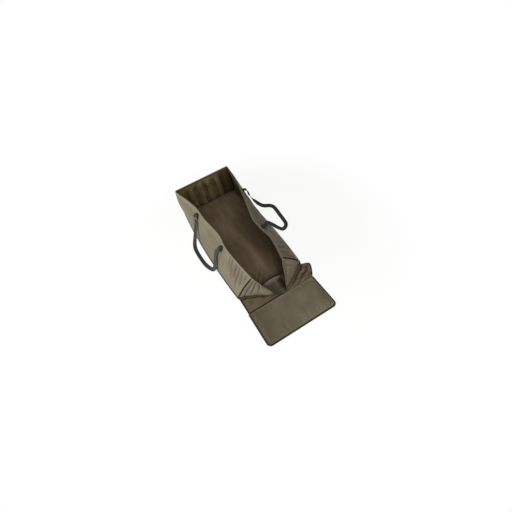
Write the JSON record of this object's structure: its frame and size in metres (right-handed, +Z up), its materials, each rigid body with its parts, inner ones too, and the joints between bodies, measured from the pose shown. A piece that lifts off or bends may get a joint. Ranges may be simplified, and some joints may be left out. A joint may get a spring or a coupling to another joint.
{
  "type": "unhooking mat",
  "caption": "Open cradle mat for landed fish, with padded floor and walls, a slumped cloth end, a padded end flap on a cloth strip and two webbing carry handles.",
  "frame": {"origin": "middle of the base's underside, on the ground, at mid-length of the sewn base", "axes": "+X along the mat to the end flap, +Y to the right for someone who looks in from the flap, +Z up"},
  "size_m": [1.7477, 0.9072, 0.302],
  "materials": {
    "olive_shell": "olive coated polyester, satin",
    "dark_lining": "dark olive coated lining",
    "floor_lining": "soft brown lining",
    "strip_cloth": "thin brown cloth",
    "binding": "black woven tape, matt",
    "webbing": "grey woven webbing, matt",
    "foam": "grey closed-cell foam",
    "ground_sheet": "black coated sheet"
  },
  "bodies": {
    "cradle": {"left_wall_shell": "olive_shell", "right_wall_shell": "olive_shell", "far_wall_shell": "olive_shell", "left_rim_hem": "olive_shell", "right_rim_hem": "olive_shell", "far_rim_hem": "olive_shell", "end_wall": "olive_shell", "left_wall_lining": "dark_lining", "right_wall_lining": "dark_lining", "far_wall_lining": "dark_lining", "end_wall_left_hem": "dark_lining", "end_wall_right_hem": "dark_lining", "floor_lining": "floor_lining", "near_left_corner_tape": "binding", "near_right_corner_tape": "binding", "far_left_corner_tape": "binding", "far_right_corner_tape": "binding", "base_piping": "binding", "left_far_anchor": "webbing", "left_near_anchor": "webbing", "right_far_anchor": "webbing", "right_near_anchor": "webbing", "left_wall_foam": "foam", "right_wall_foam": "foam", "far_wall_foam": "foam", "floor_foam": "foam", "ground_sheet": "ground_sheet"},
    "strip": {"strip_cloth": "strip_cloth", "strip_left_tape": "binding", "strip_right_tape": "binding", "fold_tape": "binding"},
    "flap": {"flap_underside": "ground_sheet", "flap_foam": "foam", "flap_cover": "olive_shell", "flap_edge_tape": "binding"},
    "left_handle": {"left_handle": "webbing"},
    "right_handle": {"right_handle": "webbing"}
  },
  "joints": [
    {"name": "strip_lift", "type": "hinge", "parent": "cradle", "child": "strip", "pos_m": [0.62545, 0, 0.0006], "axis": [0, -1, 0], "range_deg": [0, 45], "deforming": ["end_wall", "end_wall_left_hem", "end_wall_right_hem"]},
    {"name": "flap_fold", "type": "hinge", "parent": "strip", "child": "flap", "pos_m": [0.78835, 0, 0.0021], "axis": [0, -1, 0], "range_deg": [0, 60]},
    {"name": "left_handle_swing", "type": "hinge", "parent": "cradle", "child": "left_handle", "pos_m": [0.0007, -0.23969, 0.25575], "axis": [-0.9993, -0.0347, 0.0113], "range_deg": [0, 130]},
    {"name": "right_handle_swing", "type": "hinge", "parent": "cradle", "child": "right_handle", "pos_m": [0.00326, 0.2351, 0.25064], "axis": [0.985, -0.1631, -0.0563], "range_deg": [0, 130]}
  ]
}
